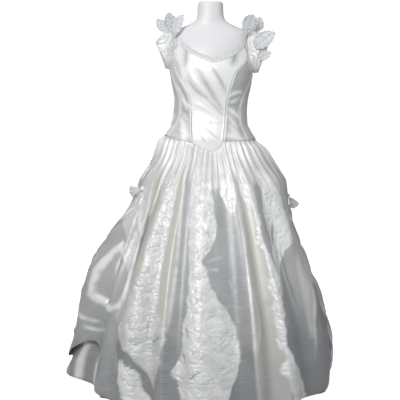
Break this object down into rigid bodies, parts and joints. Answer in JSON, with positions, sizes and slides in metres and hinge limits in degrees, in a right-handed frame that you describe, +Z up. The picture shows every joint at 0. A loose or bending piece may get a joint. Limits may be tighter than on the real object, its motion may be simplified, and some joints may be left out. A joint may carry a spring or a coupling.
{
  "type": "wedding dress on a dress form",
  "caption": "Full-length satin gown with a seamed bodice, cap sleeves, leaf petals and a gathered, picked-up skirt, on a limbless form with a round stand.",
  "frame": {"origin": "on the floor, at the centre of the underside of the stand's round base", "axes": "+Z up; the dress faces -Y; +X is on the right of a viewer who looks at its front"},
  "size_m": [1.0387, 1.0615, 1.48],
  "materials": {
    "ivory_satin": "heavy duchess satin, soft gloss, crisp creases",
    "white_organza": "stiff sheer organza with stitched veins and edges",
    "grey_form_gloss": "smooth pale grey glossy shell",
    "stand_steel": "brushed steel, plain"
  },
  "bodies": {
    "root": {"armhole_band_left": "white_organza", "armhole_band_right": "white_organza", "bodice_back_left": "ivory_satin", "bodice_back_right": "ivory_satin", "bodice_centre_front": "ivory_satin", "bodice_side_front_left": "ivory_satin", "bodice_side_front_right": "ivory_satin", "bodice_side_left": "ivory_satin", "bodice_side_right": "ivory_satin", "button_01": "ivory_satin", "button_02": "ivory_satin", "button_03": "ivory_satin", "button_04": "ivory_satin", "button_05": "ivory_satin", "button_06": "ivory_satin", "button_07": "ivory_satin", "button_08": "ivory_satin", "button_09": "ivory_satin", "button_10": "ivory_satin", "button_11": "ivory_satin", "dress_form": "grey_form_gloss", "hip_fan_left": "ivory_satin", "hip_fan_right": "ivory_satin", "hip_knot_left": "ivory_satin", "hip_knot_right": "ivory_satin", "neckline_frill_back": "white_organza", "neckline_frill_front": "white_organza", "overskirt_back": "ivory_satin", "overskirt_front": "ivory_satin", "petal_left_1": "white_organza", "petal_left_2": "white_organza", "petal_left_3": "white_organza", "petal_left_4": "white_organza", "petal_right_1": "white_organza", "petal_right_2": "white_organza", "petal_right_3": "white_organza", "petal_right_4": "white_organza", "petal_right_5": "white_organza", "petal_right_6": "white_organza", "sleeve_left": "ivory_satin", "sleeve_right": "ivory_satin", "stand_base": "stand_steel", "stand_collar": "stand_steel", "stand_plate": "stand_steel", "stand_pole": "stand_steel", "underskirt_back": "ivory_satin", "underskirt_front": "ivory_satin"}
  },
  "joints": []
}
